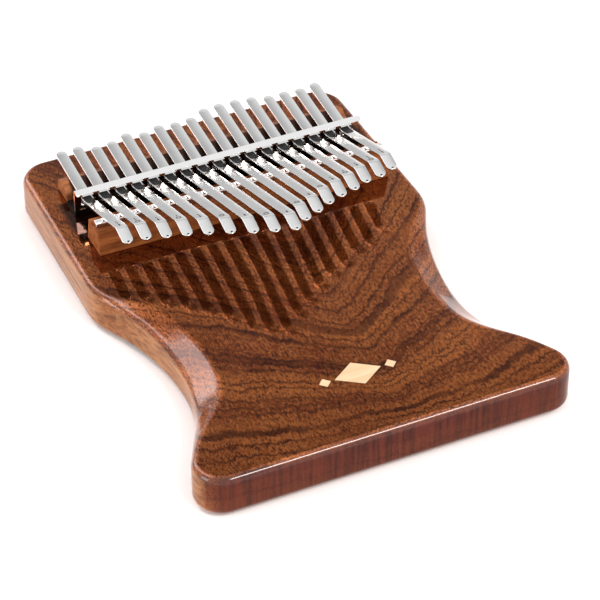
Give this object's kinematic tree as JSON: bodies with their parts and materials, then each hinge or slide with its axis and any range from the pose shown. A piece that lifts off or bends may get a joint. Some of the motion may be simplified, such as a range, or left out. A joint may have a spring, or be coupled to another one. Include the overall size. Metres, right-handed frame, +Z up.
{
  "type": "mbira",
  "caption": "Thumb piano: a waisted solid wood board with rounded edges, plucked steel tines over a wooden bridge and steel saddle, clamped by a slotted chrome bracket.",
  "frame": {"origin": "middle of the board's underside (bottom centre of the bounding box)", "axes": "+X to the right as the player sees it, +Y away from the player towards the clamped ends of the tines, +Z up out of the played face"},
  "size_m": [0.152, 0.209, 0.0476],
  "materials": {
    "body_wood": "glossy lacquer over figured reddish-brown wood",
    "bridge_wood": "satin",
    "inlay_maple": "flush under the board lacquer",
    "tine_steel": "polished spring steel",
    "saddle_steel": "polished",
    "bracket_chrome": "bright plated sheet",
    "screw_steel": "zinc plated"
  },
  "bodies": {
    "instrument": {"board": "body_wood", "lozenge_inlay": "inlay_maple", "front_bridge": "bridge_wood", "saddle_bar": "saddle_steel", "rear_bridge": "bridge_wood", "pressure_bracket": "bracket_chrome", "bracket_screws": "screw_steel", "tine_01_root": "tine_steel", "tine_02_root": "tine_steel", "tine_03_root": "tine_steel", "tine_04_root": "tine_steel", "tine_05_root": "tine_steel", "tine_06_root": "tine_steel", "tine_07_root": "tine_steel", "tine_08_root": "tine_steel", "tine_09_root": "tine_steel", "tine_10_root": "tine_steel", "tine_11_root": "tine_steel", "tine_12_root": "tine_steel", "tine_13_root": "tine_steel", "tine_14_root": "tine_steel", "tine_15_root": "tine_steel", "tine_16_root": "tine_steel", "tine_17_root": "tine_steel"},
    "tongue_01": {"tine_01_tongue": "tine_steel"},
    "tongue_02": {"tine_02_tongue": "tine_steel"},
    "tongue_03": {"tine_03_tongue": "tine_steel"},
    "tongue_04": {"tine_04_tongue": "tine_steel"},
    "tongue_05": {"tine_05_tongue": "tine_steel"},
    "tongue_06": {"tine_06_tongue": "tine_steel"},
    "tongue_07": {"tine_07_tongue": "tine_steel"},
    "tongue_08": {"tine_08_tongue": "tine_steel"},
    "tongue_09": {"tine_09_tongue": "tine_steel"},
    "tongue_10": {"tine_10_tongue": "tine_steel"},
    "tongue_11": {"tine_11_tongue": "tine_steel"},
    "tongue_12": {"tine_12_tongue": "tine_steel"},
    "tongue_13": {"tine_13_tongue": "tine_steel"},
    "tongue_14": {"tine_14_tongue": "tine_steel"},
    "tongue_15": {"tine_15_tongue": "tine_steel"},
    "tongue_16": {"tine_16_tongue": "tine_steel"},
    "tongue_17": {"tine_17_tongue": "tine_steel"}
  },
  "joints": [
    {"name": "pluck_01", "type": "hinge", "parent": "instrument", "child": "tongue_01", "pos_m": [-0.0551, 0.0385, 0.03289], "axis": [1, 0, 0], "range_deg": [-4, 4], "stiffness_Nm_per_rad": 10.625},
    {"name": "pluck_02", "type": "hinge", "parent": "instrument", "child": "tongue_02", "pos_m": [-0.048, 0.0385, 0.03289], "axis": [1, 0, 0], "range_deg": [-4, 4], "stiffness_Nm_per_rad": 9.903},
    {"name": "pluck_03", "type": "hinge", "parent": "instrument", "child": "tongue_03", "pos_m": [-0.0409, 0.0385, 0.03289], "axis": [1, 0, 0], "range_deg": [-4, 4], "stiffness_Nm_per_rad": 8.516},
    {"name": "pluck_04", "type": "hinge", "parent": "instrument", "child": "tongue_04", "pos_m": [-0.0338, 0.0385, 0.03289], "axis": [1, 0, 0], "range_deg": [-4, 4], "stiffness_Nm_per_rad": 7.47},
    {"name": "pluck_05", "type": "hinge", "parent": "instrument", "child": "tongue_05", "pos_m": [-0.0267, 0.0385, 0.03289], "axis": [1, 0, 0], "range_deg": [-4, 4], "stiffness_Nm_per_rad": 6.495},
    {"name": "pluck_06", "type": "hinge", "parent": "instrument", "child": "tongue_06", "pos_m": [-0.0196, 0.0385, 0.03289], "axis": [1, 0, 0], "range_deg": [-4, 4], "stiffness_Nm_per_rad": 5.67},
    {"name": "pluck_07", "type": "hinge", "parent": "instrument", "child": "tongue_07", "pos_m": [-0.0125, 0.0385, 0.03289], "axis": [1, 0, 0], "range_deg": [-4, 4], "stiffness_Nm_per_rad": 4.941},
    {"name": "pluck_08", "type": "hinge", "parent": "instrument", "child": "tongue_08", "pos_m": [-0.0054, 0.0385, 0.03289], "axis": [1, 0, 0], "range_deg": [-4, 4], "stiffness_Nm_per_rad": 4.503},
    {"name": "pluck_09", "type": "hinge", "parent": "instrument", "child": "tongue_09", "pos_m": [0.0017, 0.0385, 0.03289], "axis": [1, 0, 0], "range_deg": [-4, 4], "stiffness_Nm_per_rad": 4.201},
    {"name": "pluck_10", "type": "hinge", "parent": "instrument", "child": "tongue_10", "pos_m": [0.0088, 0.0385, 0.03289], "axis": [1, 0, 0], "range_deg": [-4, 4], "stiffness_Nm_per_rad": 4.779},
    {"name": "pluck_11", "type": "hinge", "parent": "instrument", "child": "tongue_11", "pos_m": [0.0159, 0.0385, 0.03289], "axis": [1, 0, 0], "range_deg": [-4, 4], "stiffness_Nm_per_rad": 5.287},
    {"name": "pluck_12", "type": "hinge", "parent": "instrument", "child": "tongue_12", "pos_m": [0.023, 0.0385, 0.03289], "axis": [1, 0, 0], "range_deg": [-4, 4], "stiffness_Nm_per_rad": 5.996},
    {"name": "pluck_13", "type": "hinge", "parent": "instrument", "child": "tongue_13", "pos_m": [0.0301, 0.0385, 0.03289], "axis": [1, 0, 0], "range_deg": [-4, 4], "stiffness_Nm_per_rad": 6.673},
    {"name": "pluck_14", "type": "hinge", "parent": "instrument", "child": "tongue_14", "pos_m": [0.0372, 0.0385, 0.03289], "axis": [1, 0, 0], "range_deg": [-4, 4], "stiffness_Nm_per_rad": 7.369},
    {"name": "pluck_15", "type": "hinge", "parent": "instrument", "child": "tongue_15", "pos_m": [0.0443, 0.0385, 0.03289], "axis": [1, 0, 0], "range_deg": [-4, 4], "stiffness_Nm_per_rad": 8.549},
    {"name": "pluck_16", "type": "hinge", "parent": "instrument", "child": "tongue_16", "pos_m": [0.0514, 0.0385, 0.03289], "axis": [1, 0, 0], "range_deg": [-4, 4], "stiffness_Nm_per_rad": 9.158},
    {"name": "pluck_17", "type": "hinge", "parent": "instrument", "child": "tongue_17", "pos_m": [0.0585, 0.0385, 0.03289], "axis": [1, 0, 0], "range_deg": [-4, 4], "stiffness_Nm_per_rad": 11.167}
  ]
}
